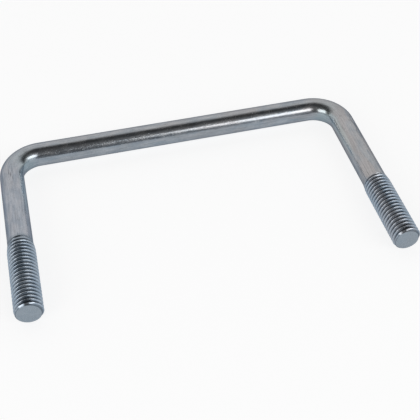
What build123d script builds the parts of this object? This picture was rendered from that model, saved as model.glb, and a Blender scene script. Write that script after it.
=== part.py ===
from build123d import *
import os
from math import atan, cos, degrees, radians, tan

# Square-bend U-bolt, M8: one length of round steel rod, bent cold at two corners,
# with a right-hand thread rolled on the end of each leg. It lies flat: +X runs along
# the crossbar, the legs point to -Y, and the origin is under the middle of its box.

# The U: its height is over the outside, the rest is along the centre of the rod
OVERALL_HEIGHT = 65.0
LEG_SPACING = 104.0
BEND_RADIUS = 9.1

# Rod and thread: ISO metric M8 x 1.25, rolled on a rod of about the pitch diameter
ROD_DIAMETER = 7.12
THREAD_DIAMETER = 7.88
PITCH = 1.25
THREAD_ANGLE = 60.0
GROOVE_DEPTH = 0.6134 * PITCH
CREST_FLAT = PITCH / 8
FULL_TURNS = (12, 6)
FADE_TURNS = 1.5
FULL_LENGTH = 22.3
RUN_OUT_LENGTH = 3.1
END_CHAMFER = 0.5
CUT_OVERSHOOT = 0.08

rod_radius = ROD_DIAMETER / 2
thread_radius = THREAD_DIAMETER / 2
leg_length = OVERALL_HEIGHT - rod_radius
leg_x = LEG_SPACING / 2
axis_z = thread_radius
end_y = -OVERALL_HEIGHT / 2
crossbar_y = end_y + leg_length
blank_length = FULL_LENGTH + RUN_OUT_LENGTH
rod_end_y = end_y + blank_length

# The cutter stands a little proud of the crests, its flanks carried on outwards
cutter_radius = thread_radius + CUT_OVERSHOOT
cutter_depth = GROOVE_DEPTH + CUT_OVERSHOOT
flank_slope = tan(radians(THREAD_ANGLE / 2))
half_mouth = (PITCH - CREST_FLAT) / 2 + CUT_OVERSHOOT * flank_slope
half_root = half_mouth - cutter_depth * flank_slope
fade_length = FADE_TURNS * PITCH
fade_angle = degrees(atan(cutter_depth / fade_length))


def groove_cutter(start_y, helix_pitch, height, cone_angle):
    """Solid that cuts the thread groove about the Y axis, upwards from start_y."""
    with BuildPart() as cutter:
        with BuildLine() as helix_line:
            Helix(helix_pitch, height, cutter_radius, (0, start_y, 0), (0, 1, 0), cone_angle)
        with BuildSketch(Plane.ZY) as groove_section:
            with BuildLine():
                Polyline(
                    (cutter_radius, start_y + half_mouth),
                    (cutter_radius, start_y - half_mouth),
                    (cutter_radius - cutter_depth, start_y - half_root),
                    (cutter_radius - cutter_depth, start_y + half_root),
                    close=True,
                )
            make_face()
        sweep(path=helix_line.line, is_frenet=True)
    return cutter.part


# One threaded leg end, standing on the origin along +Y
with BuildPart() as threaded_end:
    # The thread blank: chamfered at the end face, narrowing to the rod at the top
    with BuildSketch(Plane.ZY) as blank_outline:
        with BuildLine():
            Polyline(
                (0, blank_length),
                (0, 0),
                (thread_radius - END_CHAMFER, 0),
                (thread_radius, END_CHAMFER),
                (thread_radius, FULL_LENGTH),
            )
            TangentArc((thread_radius, FULL_LENGTH), (rod_radius, blank_length), tangent=(0, 1))
            Line((rod_radius, blank_length), (0, blank_length))
        make_face()
    revolve(axis=Axis.Y)
    # The groove starts one turn off the end face, and is cut in stretches of whole turns
    stretch_start = -PITCH
    for turns in FULL_TURNS:
        full_groove = groove_cutter(stretch_start, PITCH, turns * PITCH, 0)
        add(full_groove, mode=Mode.SUBTRACT)
        stretch_start += turns * PITCH
    # Above them it climbs out of the rod and fades
    fade_pitch = PITCH / cos(radians(fade_angle))
    fading_groove = groove_cutter(stretch_start, fade_pitch, fade_length, fade_angle)
    add(fading_groove, mode=Mode.SUBTRACT)

with BuildPart() as u_bolt:
    # The bent rod, from the top of one threaded end to the top of the other
    with BuildLine() as rod_line:
        FilletPolyline(
            (-leg_x, rod_end_y, axis_z),
            (-leg_x, crossbar_y, axis_z),
            (leg_x, crossbar_y, axis_z),
            (leg_x, rod_end_y, axis_z),
            radius=BEND_RADIUS,
        )
    with BuildSketch(Plane(origin=rod_line.line @ 0, z_dir=rod_line.line % 0)) as rod_section:
        Circle(rod_radius)
    sweep()
    with Locations((-leg_x, end_y, axis_z), (leg_x, end_y, axis_z)):
        add(threaded_end.part)

u_bolt.part.label = "u_bolt"

os.makedirs("parts", exist_ok=True)
export_step(u_bolt.part, "parts/u_bolt.step")
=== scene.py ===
from math import cos, pi, radians, sin, tan
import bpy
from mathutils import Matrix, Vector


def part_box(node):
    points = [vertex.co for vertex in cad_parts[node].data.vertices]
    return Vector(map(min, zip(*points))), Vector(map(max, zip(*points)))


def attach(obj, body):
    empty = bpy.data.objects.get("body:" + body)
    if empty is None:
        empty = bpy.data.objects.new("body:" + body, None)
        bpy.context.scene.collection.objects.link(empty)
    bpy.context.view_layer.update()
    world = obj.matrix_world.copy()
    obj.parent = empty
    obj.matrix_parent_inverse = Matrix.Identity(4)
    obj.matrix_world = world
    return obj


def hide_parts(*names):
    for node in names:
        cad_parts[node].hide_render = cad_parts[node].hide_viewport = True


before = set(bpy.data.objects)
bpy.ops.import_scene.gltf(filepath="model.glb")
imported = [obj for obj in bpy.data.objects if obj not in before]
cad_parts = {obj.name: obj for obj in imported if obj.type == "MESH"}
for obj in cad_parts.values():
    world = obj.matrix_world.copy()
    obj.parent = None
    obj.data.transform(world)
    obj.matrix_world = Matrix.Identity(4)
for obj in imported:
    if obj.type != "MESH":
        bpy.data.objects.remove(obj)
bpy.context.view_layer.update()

from types import SimpleNamespace

import bmesh
import bpy
import numpy as np
from mathutils import Matrix, Vector

# Lengths of the rod are in millimetres until its mesh is made. The stage is in metres.
MM = 0.001

# ---------------------------------------------------------------- sizes
box_low, box_high = (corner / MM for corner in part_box("u_bolt"))
ROD_RADIUS = 3.56
BEND_RADIUS = 9.1
PITCH = 1.25
# How far the thread keeps its full width, and the length over which it narrows to the rod
THREAD_LENGTH = 21.4
RUN_OUT_LENGTH = 3.8
# Where the last groove starts to get shallower on the left and right leg
GROOVE_FADE_STARTS = (25.3, 23.5)
GROOVE_FADE_SLOPE = 0.6
# Where the two threads start, in turns
THREAD_STARTS = (0.08, 0.12)
END_CHAMFER = 0.5
# How far bending presses in the inner side of the left (-1) and the right (1) bend, and
# how wide that dent is round the rod, in radians
INNER_DENT = {-1: 0.12, 1: 0.06}
DENT_WIDTH = 0.55

thread_radius = (box_high.z - box_low.z) / 2
leg_x = (box_high.x - box_low.x) / 2 - thread_radius
axis_z = box_low.z + thread_radius
end_y = box_low.y
crossbar_y = box_high.y - ROD_RADIUS
end_length = max(GROOVE_FADE_STARTS) + PITCH

# ---------------------------------------------------------------- mesh density
# Columns round the rod, and the distance between rows on straight runs and on bends
COLUMNS = 72
ROD_ROW = 0.9
ARC_ROW = 0.5
# Rows across one turn of thread, as distances from the groove's middle, in pitches
TURN_ROWS = (-0.46, -0.43, -0.4, -0.36, -0.31, -0.25, -0.18, -0.125, -0.08, -0.03, 0.03,
             0.08, 0.125, 0.18, 0.25, 0.31, 0.36, 0.4, 0.43, 0.46, 0.5)
# Turns of rows that start before the end face, and turns to spare past the threaded end
TURNS_BEFORE = 2
TURNS_TO_SPARE = 3
# Rows closer than this to either end of the threaded end are left out
ROW_GAP = 0.02
# Rings across an end face, as shares of its radius
FACE_RINGS = (0.97, 0.9, 0.75, 0.5, 0.25)
# Edges sharper than this, in degrees, aren't shaded smooth
SHARP_ANGLE = 38

column_angles = 2 * pi * np.arange(COLUMNS) / COLUMNS

# ---------------------------------------------------------------- thread profile
# The ISO form, with lengths in pitches
HALF_ANGLE_TAN = tan(radians(30))
CREST_EDGE = 7 / 16
ROOT_RADIUS = 1 / (8 * cos(radians(30)))
ROOT_HALF_WIDTH = 1 / 8
FULL_DEPTH = 0.6134
CREST_ROUNDING = 0.03
# The thread's own shading ends this far past the start of the groove's fade, over this length
SHADING_PAST_FADE = 0.9
SHADING_FADE_LENGTH = 1.4


def rounded_corner(height):
    """The height itself where it is positive and 0 where it is negative, with a round corner."""
    return (height + np.sqrt(height**2 + CREST_ROUNDING**2)) / 2


def groove_depth(turns):
    """Depth of the thread under its crests at a distance from a groove's middle, in pitches."""
    away = np.abs(turns - np.round(turns))
    flank = rounded_corner((CREST_EDGE - away) / HALF_ANGLE_TAN)
    root = FULL_DEPTH - ROOT_RADIUS + np.sqrt(np.maximum(ROOT_RADIUS**2 - away**2, 0))
    crest = rounded_corner((CREST_EDGE - 0.5) / HALF_ANGLE_TAN)
    return np.where(away < ROOT_HALF_WIDTH, np.minimum(root, flank), flank) - crest


def end_radius(distance, turns, fade_start):
    """Radius of the threaded end at a distance from its end face."""
    run_out = np.clip((distance - THREAD_LENGTH) / RUN_OUT_LENGTH, 0, 1)
    narrowing = (thread_radius - ROD_RADIUS) * run_out**2 * (3 - 2 * run_out)
    fade = np.maximum(distance - fade_start, 0) * GROOVE_FADE_SLOPE
    groove = thread_radius - PITCH * groove_depth(turns) + fade
    chamfer = thread_radius - END_CHAMFER + distance
    return np.minimum(np.minimum(thread_radius - narrowing, groove), chamfer)


# ---------------------------------------------------------------- mesh building
class Rod:
    """Collects the vertices, the faces and the facts at each vertex of the one solid rod.

    Each vertex also has its place on the straightened rod: inward, up, and along it
    from the left end.
    """

    def __init__(self):
        self.points = []
        self.straight = []
        self.facts = {"depth": [], "face_mask": [], "bend_mask": [], "thread_mask": []}
        self.faces = []
        self.count = 0

    def add(self, points, straight, **facts):
        """Add vertices and return their numbers. A fact that isn't given is 0."""
        added = len(points)
        self.points.append(points)
        self.straight.append(straight)
        for name, values in self.facts.items():
            values.append(np.broadcast_to(facts.get(name, 0.0), added))
        first = self.count
        self.count += added
        return np.arange(first, self.count)

    def quad(self, *corners):
        """Add a face, with corners that coincide taken once."""
        distinct = list(dict.fromkeys(int(corner) for corner in corners))
        if len(distinct) > 2:
            self.faces.append(distinct)

    def strip(self, ring_a, ring_b):
        """Join two rings of vertices."""
        for j in range(COLUMNS):
            k = (j + 1) % COLUMNS
            self.quad(ring_a[j], ring_a[k], ring_b[k], ring_b[j])


def threaded_end(rod, x, thread_start, fade_start, along):
    """Add one threaded end at x and return its top ring.

    Angles run from +X to +Z. Rows follow the right-hand helix, so going once round
    moves a row down by one pitch. along(distance) is the distance along the whole rod.
    """
    turns_up = int(end_length / PITCH) + TURNS_TO_SPARE
    rows = np.array([k + row for k in range(-TURNS_BEFORE, turns_up) for row in TURN_ROWS])
    distance = PITCH * (rows[:, None] + thread_start - column_angles[None] / (2 * pi))
    clamped = np.clip(distance, 0, end_length)
    # The place within the turn, counted from a groove's middle, also where a row is clamped
    turns = rows[:, None] + (clamped - distance) / PITCH
    radius = end_radius(clamped, turns, fade_start)
    depth = np.clip((thread_radius - radius) / (PITCH * FULL_DEPTH), 0, 1)
    threaded = np.clip((fade_start + SHADING_PAST_FADE - clamped) / SHADING_FADE_LENGTH, 0, 1)

    inward = -np.sign(x)
    xs = x + radius * np.cos(column_angles)
    ys = end_y + clamped
    zs = axis_z + radius * np.sin(column_angles)
    points = np.stack([xs, ys, zs], -1)
    straight = np.stack([(xs - x) * inward, zs - axis_z, along(clamped)], -1)
    bottom = rod.add(points[0], straight[0], depth=depth[0], thread_mask=1.0)
    top = rod.add(points[-1], straight[-1])
    free = (distance > ROW_GAP) & (distance < end_length - ROW_GAP)
    index = np.empty(distance.shape, int)
    index[free] = rod.add(points[free], straight[free], depth=depth[free],
                          thread_mask=threaded[free])
    for j in range(COLUMNS):
        index[distance[:, j] <= ROW_GAP, j] = bottom[j]
        index[distance[:, j] >= end_length - ROW_GAP, j] = top[j]

    # The last column meets the first one a whole turn further down
    turn = len(TURN_ROWS)
    last = COLUMNS - 1
    for i in range(turn, len(rows) - 1):
        for j in range(last):
            rod.quad(index[i, j], index[i, j + 1], index[i + 1, j + 1], index[i + 1, j])
        rod.quad(index[i, last], index[i - turn, 0], index[i + 1 - turn, 0], index[i + 1, last])

    add_end_face(rod, bottom, points[0], np.array([x, end_y, axis_z]), inward, float(along(0)))
    return top


def add_end_face(rod, rim, rim_points, centre_point, inward, along):
    """Close a threaded end with a flat face, as rings inside its rim."""
    edge = rim_points - centre_point
    ring = rim
    for share in FACE_RINGS:
        straight = np.stack([edge[:, 0] * share * inward, edge[:, 2] * share,
                             np.full(COLUMNS, along)], -1)
        inner = rod.add(edge * share + centre_point, straight, face_mask=1.0, thread_mask=1.0)
        rod.strip(inner, ring)
        ring = inner
    centre = rod.add(centre_point[None], np.array([[0, 0, along]]),
                     face_mask=1.0, thread_mask=1.0)[0]
    for j in range(COLUMNS):
        rod.quad(centre, ring[j], ring[(j + 1) % COLUMNS])


def rod_stations():
    """Centre points and headings along the bent rod between its two threaded ends."""
    straight_start = end_y + end_length
    straight_end = crossbar_y - BEND_RADIUS
    leg_rows = int((straight_end - straight_start) / ROD_ROW)
    arc_rows = int(BEND_RADIUS * pi / 2 / ARC_ROW)
    bar_half = leg_x - BEND_RADIUS
    bar_rows = int(2 * bar_half / ROD_ROW)

    def bend(centre_x, first_heading):
        headings = first_heading - np.linspace(0, pi / 2, arc_rows + 1)
        return [(centre_x - BEND_RADIUS * sin(heading),
                 straight_end + BEND_RADIUS * cos(heading), heading) for heading in headings]

    leg_ys = np.linspace(straight_start, straight_end, leg_rows + 1)[1:-1]
    bar_xs = np.linspace(-bar_half, bar_half, bar_rows + 1)[1:-1]
    stations = [(-leg_x, y, pi / 2) for y in leg_ys]
    stations += bend(-bar_half, pi / 2)
    stations += [(x, crossbar_y, 0.0) for x in bar_xs]
    stations += bend(bar_half, 0.0)
    stations += [(leg_x, y, -pi / 2) for y in leg_ys[::-1]]
    return stations


def build_rod():
    """Make the whole rod from left to right, and return it with its length along the axis."""
    rod = Rod()
    ring = threaded_end(rod, -leg_x, THREAD_STARTS[0], GROOVE_FADE_STARTS[0], lambda d: d)
    travelled = end_length
    previous = Vector((-leg_x, end_y + end_length))
    from_inner_side = (column_angles + pi) % (2 * pi) - pi
    dent_shape = np.exp(-(from_inner_side / DENT_WIDTH) ** 2)
    for x, y, heading in rod_stations():
        here = Vector((x, y))
        travelled += (here - previous).length
        previous = here
        side = -1 if x < 0 else 1
        in_bend = sin(2 * abs(heading)) ** 2
        radius = ROD_RADIUS - INNER_DENT[side] * in_bend * dent_shape
        # The inner side of the U is on the right of the way along it
        right = np.array([sin(heading), -cos(heading)])
        reach = radius * np.cos(column_angles)
        height = radius * np.sin(column_angles)
        points = np.stack([x + reach * right[0], y + reach * right[1], axis_z + height], -1)
        straight = np.stack([reach, height, np.full(COLUMNS, travelled)], -1)
        new_ring = rod.add(points, straight, bend_mask=in_bend * (0.5 + 0.5 * np.cos(column_angles)))
        rod.strip(ring, new_ring)
        ring = new_ring
    length = travelled + (Vector((leg_x, end_y + end_length)) - previous).length + end_length
    right_top = threaded_end(rod, leg_x, THREAD_STARTS[1], GROOVE_FADE_STARTS[1],
                             lambda d: length - d)
    # On the right leg the inner side is -X, so its columns run the other way round
    turned = [right_top[(COLUMNS // 2 - j) % COLUMNS] for j in range(COLUMNS)]
    rod.strip(ring, turned)
    return rod, length


def make_rod_object(rod):
    mesh = bpy.data.meshes.new("u_bolt_rod")
    points = np.concatenate(rod.points) * MM
    mesh.from_pydata([tuple(p) for p in points], [], rod.faces)
    mesh.validate()
    shape = bmesh.new()
    shape.from_mesh(mesh)
    bmesh.ops.recalc_face_normals(shape, faces=shape.faces)
    shape.to_mesh(mesh)
    shape.free()
    mesh.shade_smooth()
    mesh.set_sharp_from_angle(angle=radians(SHARP_ANGLE))
    for name, values in rod.facts.items():
        layer = mesh.attributes.new(name, "FLOAT", "POINT")
        layer.data.foreach_set("value", np.concatenate(values).astype(np.float32))
    layer = mesh.attributes.new("straight", "FLOAT_VECTOR", "POINT")
    layer.data.foreach_set("vector", np.concatenate(rod.straight).astype(np.float32).ravel())
    rod_object = bpy.data.objects.new("u_bolt_rod", mesh)
    bpy.context.scene.collection.objects.link(rod_object)
    return rod_object


rod, rod_length = build_rod()
piece = make_rod_object(rod)


# ---------------------------------------------------------------- material
class Nodes:
    """Small helper that adds linked shader nodes to one node tree."""

    def __init__(self, tree):
        self.tree = tree
        tree.nodes.clear()

    def add(self, kind, inputs=None, **settings):
        node = self.tree.nodes.new(kind)
        for name, value in settings.items():
            setattr(node, name, value)
        for key, value in (inputs or {}).items():
            self.put(node.inputs[key], value)
        return node

    def put(self, socket, value):
        if isinstance(value, bpy.types.NodeSocket):
            self.tree.links.new(value, socket)
        else:
            socket.default_value = value

    def fact(self, name, output="Fac"):
        """A fact that the mesh has at each vertex."""
        return self.add("ShaderNodeAttribute", attribute_name=name).outputs[output]

    def math(self, operation, *values):
        node = self.add("ShaderNodeMath", operation=operation)
        for socket, value in zip(node.inputs, values):
            self.put(socket, value)
        return node.outputs[0]

    def plus(self, value, extra, amount=1.0):
        """The value with some of another one added."""
        return self.math("ADD", value, self.math("MULTIPLY", extra, amount))

    def darken(self, value, mask, amount):
        """The value, less a share of itself where the mask is."""
        kept = self.math("SUBTRACT", 1.0, self.math("MULTIPLY", mask, amount))
        return self.math("MULTIPLY", value, kept)

    def remap(self, value, low, high, to_low=0.0, to_high=1.0):
        node = self.add("ShaderNodeMapRange", {"Value": value, "From Min": low, "From Max": high,
                                               "To Min": to_low, "To Max": to_high},
                        interpolation_type="SMOOTHSTEP")
        return node.outputs["Result"]

    def noise(self, vector, size, detail=2.0, roughness=0.5):
        """Noise with a feature size in mm inward, up and along the rod."""
        scaled = self.add("ShaderNodeMapping", {"Vector": vector,
                                                "Scale": tuple(1 / value for value in size)})
        node = self.add("ShaderNodeTexNoise", {"Vector": scaled.outputs[0], "Scale": 1.0,
                                               "Detail": detail, "Roughness": roughness})
        return node.outputs["Fac"]

    def patch(self, vector, centre, size):
        """A soft spot that is 1 about its centre and falls to 0 at its size."""
        moved = self.add("ShaderNodeMapping",
                         {"Vector": vector, "Scale": tuple(1 / value for value in size),
                          "Location": tuple(-place / value for place, value in zip(centre, size))})
        length = self.add("ShaderNodeVectorMath", {0: moved.outputs[0]}, operation="LENGTH")
        return self.remap(length.outputs["Value"], 0.3, 1.0, 1.0, 0.0)

    def mix(self, factor, first, second, blend_type="MIX"):
        node = self.add("ShaderNodeMix", data_type="RGBA", blend_type=blend_type)
        self.put(node.inputs["Factor"], factor)
        self.put(node.inputs["A"], first)
        self.put(node.inputs["B"], second)
        return node.outputs["Result"]

    def tint(self, factor, base, tint):
        """The base colour, multiplied by a tint as far as the factor says."""
        return self.mix(factor, base, self.mix(1.0, base, tint, "MULTIPLY"))


def colour(red, green, blue):
    return (red, green, blue, 1.0)


ZINC_DARK = colour(0.50, 0.545, 0.595)
ZINC_LIGHT = colour(0.635, 0.655, 0.685)
WARM_CLOUD = colour(0.605, 0.59, 0.60)
# Teal of the inner bends: partly the plating's own tint, partly a painted reflection that lightens
# them
BEND_TEAL_AND_REFLECTION = colour(0.56, 0.67, 0.69)
CUT_DARK = colour(0.52, 0.575, 0.62)
CUT_LIGHT = colour(0.61, 0.65, 0.68)
EDGE_REFLECTION = colour(0.5, 0.5, 0.53)
# Tints multiply what is under them
LEFT_LEG_TINT = colour(0.99, 1.0, 1.04)
RIGHT_LEG_TINT = colour(1.0, 0.985, 0.97)
# Lightens a painted reflection: a teal line on the inner side of each leg
PAINTED_REFLECTION_TINT = colour(1.08, 1.18, 1.17)
THREAD_TINT = colour(0.93, 1.0, 1.06)

# Soft spots on the metal, each with its place and its size inward, up and along the rod.
# A place along the rod is counted from the left end, or back from the right end if negative.
RUBBED_SPOTS = (((0.0, 3.5, 50.5), (1.0, 1.5, 5.5)),
                ((-1.9, 2.9, -47.06), (1.7, 1.7, 9.5)))
# Painted dark reflections at the top of each threaded end
PAINTED_DARK_REFLECTIONS = (((0.2, 4.0, 1.2), (2.0, 1.8, 1.7)),
                 ((0.3, 4.0, -1.26), (2.0, 1.8, 1.9)))
# Painted reflections: light teal lines on the inner side of each leg next to the bends
PAINTED_INNER_REFLECTIONS = (((3.0, 1.6, 47.0), (1.6, 2.2, 16.0)),
               ((3.0, 1.6, -47.06), (1.6, 2.2, 16.0)))
# Heights of the surface are multiples of this, in metres
BUMP_DISTANCE = 0.00002


def soft_spots(n, along, spots):
    """The stronger of two soft spots at each place."""
    patches = [n.patch(along, (inward, up, place % rod_length), size)
               for (inward, up, place), size in spots]
    return n.math("MAXIMUM", *patches)


def metal_facts(n):
    """What the mesh says at each point, the noise patterns in the metal, and the mask of a painted
    dark reflection at the ends.
    """
    m = SimpleNamespace()
    along = n.fact("straight", "Vector")
    m.along = along
    m.travelled = n.add("ShaderNodeSeparateXYZ", {"Vector": along}).outputs["Z"]
    m.depth = n.fact("depth")
    m.face = n.fact("face_mask")
    m.bend = n.fact("bend_mask")
    m.thread = n.fact("thread_mask")

    m.streaks = n.noise(along, (0.32, 0.32, 7.0), detail=3.0, roughness=0.6)
    m.scratches = n.noise(along, (0.12, 0.12, 3.0))
    m.mottle = n.noise(along, (1.6, 1.6, 4.0), detail=3.0, roughness=0.55)
    m.clouds = n.noise(along, (4.0, 4.0, 14.0))
    m.grain = n.noise(along, (0.36, 0.36, 0.45), detail=3.0, roughness=0.6)
    m.pits = n.remap(n.noise(along, (0.3, 0.3, 0.42)), 0.38, 0.22)
    m.scuffs = n.remap(n.noise(along, (0.8, 0.8, 3.4), detail=3.0, roughness=0.6), 0.4, 0.28)
    m.shear = n.noise(along, (0.14, 1.8, 1.0), detail=3.0, roughness=0.6)

    rubbed_grain = n.remap(n.noise(along, (0.45, 0.45, 2.6)), 0.44, 0.6)
    m.rubbed = n.math("MULTIPLY", soft_spots(n, along, RUBBED_SPOTS), rubbed_grain)
    # A painted dark reflection at the top of each threaded end
    smeared_grain = n.remap(n.noise(along, (0.5, 0.5, 0.6)), 0.3, 0.5)
    m.smeared = n.math("MULTIPLY", soft_spots(n, along, PAINTED_DARK_REFLECTIONS), smeared_grain)
    return m


def metal_colour(n, m):
    """Cloudy zinc, bluish on the left leg and neutral on the right one, with painted shade in the
    grooves, painted highlights on the crests, painted reflections on the inner sides of the legs and
    the tops of the ends, and a teal in the bends that is partly painted reflection.
    """
    base = n.mix(n.remap(m.mottle, 0.36, 0.64), ZINC_DARK, ZINC_LIGHT)
    warmth = n.math("MULTIPLY", n.remap(m.clouds, 0.42, 0.58),
                    n.remap(m.travelled, 20.0, 200.0, 0.1, 0.95))
    base = n.mix(warmth, base, WARM_CLOUD)
    # Teal on the inner side of the bends, partly the plating's tint and partly a painted reflection
    base = n.mix(n.math("MULTIPLY", m.bend, 0.6), base, BEND_TEAL_AND_REFLECTION)
    shank = n.math("SUBTRACT", 1.0, m.thread)
    base = n.tint(n.math("MULTIPLY", shank, n.remap(m.travelled, 75.0, 40.0)), base, LEFT_LEG_TINT)
    base = n.tint(n.math("MULTIPLY", shank, n.remap(m.travelled, 145.0, 180.0)), base, RIGHT_LEG_TINT)
    # Painted reflection: a light teal line along the inner side of each leg near the bends
    base = n.tint(soft_spots(n, m.along, PAINTED_INNER_REFLECTIONS), base, PAINTED_REFLECTION_TINT)

    shade = n.remap(m.streaks, 0.3, 0.7, 0.86, 1.10)
    shade = n.math("MULTIPLY", shade, n.remap(m.grain, 0.3, 0.7, 0.94, 1.06))
    shade = n.math("MULTIPLY", shade, n.remap(m.scuffs, 0.0, 1.0, 1.0, 0.8))
    shade = n.darken(shade, m.pits, 0.16)
    shade = n.darken(shade, m.rubbed, 0.45)
    # Painted dark reflection at the top of each threaded end
    shade = n.darken(shade, m.smeared, 0.6)
    # Painted highlight on the crests and painted shade in the roots, but not on the flat end face
    crest_highlight_root_shade = n.math("MULTIPLY", n.math("SUBTRACT", m.thread, m.face),
                   n.remap(m.depth, 0.1, 0.7, 0.25, -0.45))
    shade = n.math("MULTIPLY", shade, n.math("ADD", 1.0, crest_highlight_root_shade))
    base = n.mix(1.0, base, shade, "MULTIPLY")

    base = n.tint(m.thread, base, THREAD_TINT)
    cut = n.mix(n.remap(m.shear, 0.3, 0.7), CUT_DARK, CUT_LIGHT)
    return n.mix(n.math("MULTIPLY", m.face, 0.7), base, cut)


def metal_roughness(n, m):
    rough = n.remap(m.mottle, 0.3, 0.7, 0.14, 0.22)
    rough = n.math("ADD", rough, n.remap(m.grain, 0.3, 0.7, 0.0, 0.06))
    rough = n.plus(rough, m.pits, 0.1)
    rough = n.plus(rough, m.scuffs, 0.08)
    return n.plus(rough, m.face, 0.08)


def metal_height(n, m):
    """Height of the surface, with less of it on the thread and a sheared grain on the ends."""
    height = n.math("MULTIPLY", m.streaks, 0.35)
    height = n.plus(height, m.scratches, 0.12)
    height = n.plus(height, m.mottle, 0.8)
    height = n.plus(height, m.grain, 0.32)
    height = n.plus(height, m.pits, -0.6)
    height = n.darken(height, m.thread, 0.6)
    return n.plus(height, n.math("MULTIPLY", m.shear, m.face), 0.3)


def zinc_material():
    """Bright zinc on drawn steel, one procedural metal for the shank, threads and end faces."""
    material = bpy.data.materials.new("zinc_plated_steel")
    material.use_nodes = True
    n = Nodes(material.node_tree)
    m = metal_facts(n)
    bump = n.add("ShaderNodeBump", {"Strength": 1.0, "Distance": BUMP_DISTANCE,
                                    "Height": metal_height(n, m)})
    shader = n.add("ShaderNodeBsdfPrincipled",
                   {"Base Color": metal_colour(n, m), "Metallic": 1.0,
                    "Roughness": metal_roughness(n, m), "Specular Tint": EDGE_REFLECTION,
                    "Normal": bump.outputs[0]})
    n.add("ShaderNodeOutputMaterial", {"Surface": shader.outputs[0]})
    return material


piece.data.materials.append(zinc_material())
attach(piece, "root")
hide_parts("u_bolt")


# ---------------------------------------------------------------- floor
FLOOR_RADIUS = 6.0
FLOOR_SEGMENTS = 96
FLOOR_COLOUR = colour(0.34, 0.34, 0.34)
# The floor also glows: white to the camera, and dimmer and bluer to the metal
GLOW_TO_CAMERA = 0.82
GLOW_TO_METAL = 0.38
WHITE = colour(1.0, 1.0, 1.0)
FLOOR_BLUE = colour(0.91, 1.0, 1.08)


def floor_material():
    material = bpy.data.materials.new("pale_floor")
    material.use_nodes = True
    n = Nodes(material.node_tree)
    seen = n.add("ShaderNodeLightPath").outputs["Is Camera Ray"]
    diffuse = n.add("ShaderNodeBsdfDiffuse", {"Color": FLOOR_COLOUR})
    glow = n.add("ShaderNodeEmission", {
        "Color": n.mix(seen, FLOOR_BLUE, WHITE),
        "Strength": n.remap(seen, 0.0, 1.0, GLOW_TO_METAL, GLOW_TO_CAMERA)})
    both = n.add("ShaderNodeAddShader")
    n.put(both.inputs[0], diffuse.outputs[0])
    n.put(both.inputs[1], glow.outputs[0])
    n.add("ShaderNodeOutputMaterial", {"Surface": both.outputs[0]})
    return material


def make_floor():
    mesh = bpy.data.meshes.new("floor")
    shape = bmesh.new()
    bmesh.ops.create_circle(shape, cap_ends=True, segments=FLOOR_SEGMENTS, radius=FLOOR_RADIUS)
    shape.to_mesh(mesh)
    shape.free()
    mesh.materials.append(floor_material())
    floor = bpy.data.objects.new("floor", mesh)
    bpy.context.scene.collection.objects.link(floor)
    return floor


floor = make_floor()


# ---------------------------------------------------------------- light
# Brightness of the studio against the angle round the X axis, from the back
# horizon (0) over the top (90) to the front horizon (180), in degrees
STUDIO = ((0, 0.60), (56, 0.60), (66, 0.48), (78, 0.08), (90, 0.035), (106, 0.06),
          (122, 0.10), (140, 0.12), (155, 0.09), (170, 0.07), (180, 0.14))
# Soft glows low in front, on the right and on the left: how far to that side each
# one begins and is full, as the X of its direction, and its brightness
FRONT_GLOWS = ((0.0, 0.5, 0.42), (-0.3, -0.8, 0.35))
# Angles round the X axis in radians: where the glows begin and are full, and where the
# studio begins to turn bluish and is fully so
FRONT_GLOW_ANGLES = (1.7, 2.6)
BLUE_ANGLES = (2.5, 3.0)
STUDIO_BLUE = colour(0.92, 1.0, 1.09)
SOFTBOX_DISTANCE = 1.5


def studio_world():
    world = bpy.data.worlds.new("studio")
    world.use_nodes = True
    n = Nodes(world.node_tree)
    direction = n.add("ShaderNodeTexCoord").outputs["Generated"]
    parts = n.add("ShaderNodeSeparateXYZ", {"Vector": direction})
    height = n.math("MAXIMUM", parts.outputs["Z"], 0.0)
    angle = n.math("ARCTAN2", height, parts.outputs["Y"])
    ramp = n.add("ShaderNodeValToRGB", {"Fac": n.math("DIVIDE", angle, pi)})
    stops = ramp.color_ramp.elements
    while len(stops) > 1:
        stops.remove(stops[-1])
    for number, (degrees_round, brightness) in enumerate(STUDIO):
        stop = stops[0] if number == 0 else stops.new(degrees_round / 180)
        stop.position = degrees_round / 180
        stop.color = colour(brightness, brightness, brightness)

    glow = 0.0
    for begins, full, brightness in FRONT_GLOWS:
        glow = n.plus(glow, n.remap(parts.outputs["X"], begins, full), brightness)
    light = n.plus(ramp.outputs["Color"], glow, n.remap(angle, *FRONT_GLOW_ANGLES))
    blue = n.mix(n.remap(angle, *BLUE_ANGLES), WHITE, STUDIO_BLUE)
    background = n.add("ShaderNodeBackground", {"Color": blue, "Strength": light})
    n.add("ShaderNodeOutputWorld", {"Surface": background.outputs[0]})
    return world


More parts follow.
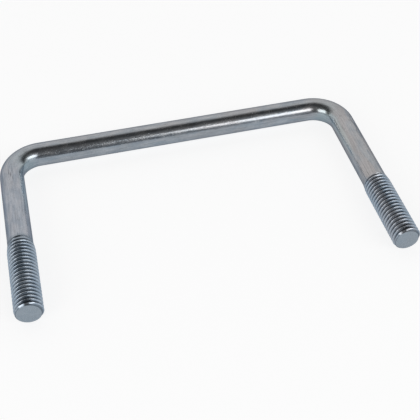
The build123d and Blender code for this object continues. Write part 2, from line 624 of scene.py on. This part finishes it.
def direction_from(azimuth, elevation):
    """Direction from the object, with azimuth in degrees from the front to the right."""
    azimuth = radians(azimuth)
    elevation = radians(elevation)
    return Vector((sin(azimuth) * cos(elevation), -cos(azimuth) * cos(elevation), sin(elevation)))


def softbox(name, azimuth, elevation, width, height, radiance):
    """Rectangular light aimed at the object, with its size as an angle in degrees."""
    data = bpy.data.lights.new(name, "AREA")
    data.shape = "RECTANGLE"
    data.size = 2 * SOFTBOX_DISTANCE * tan(radians(width / 2))
    data.size_y = 2 * SOFTBOX_DISTANCE * tan(radians(height / 2))
    data.energy = radiance * pi * data.size * data.size_y
    light = bpy.data.objects.new(name, data)
    towards = direction_from(azimuth, elevation)
    light.location = towards * SOFTBOX_DISTANCE
    light.rotation_euler = towards.to_track_quat("Z", "Y").to_euler()
    light.visible_camera = False
    bpy.context.scene.collection.objects.link(light)


bpy.context.scene.world = studio_world()
softbox("softbox_front_right", azimuth=36, elevation=34, width=43, height=21, radiance=1.65)
softbox("softbox_front_left", azimuth=-51, elevation=27, width=42, height=28, radiance=1.3)


# ---------------------------------------------------------------- camera
# The place that the camera looks at and its distance from it are in mm, its angles in
# degrees, and the range that it sees in metres
AIM = Vector((1.95, -7.645, 3.94))
VIEW_ELEVATION = 45.12
VIEW_AZIMUTH = -13.25
VIEW_DISTANCE = 248.4
ROLL = -0.899
LENS = 74.345
SENSOR_WIDTH = 36.0
NEAREST = 0.01
FURTHEST = 50.0


def make_camera():
    data = bpy.data.cameras.new("camera")
    data.lens = LENS
    data.sensor_width = SENSOR_WIDTH
    data.clip_start = NEAREST
    data.clip_end = FURTHEST
    camera = bpy.data.objects.new("camera", data)
    towards = direction_from(VIEW_AZIMUTH, VIEW_ELEVATION)
    level = (-towards).to_track_quat("-Z", "Y").to_matrix()
    camera.matrix_world = (Matrix.Translation((AIM + towards * VIEW_DISTANCE) * MM)
                           @ level.to_4x4() @ Matrix.Rotation(radians(ROLL), 4, "Z"))
    bpy.context.scene.collection.objects.link(camera)
    bpy.context.scene.camera = camera


make_camera()
bpy.context.scene.view_settings.view_transform = "Standard"
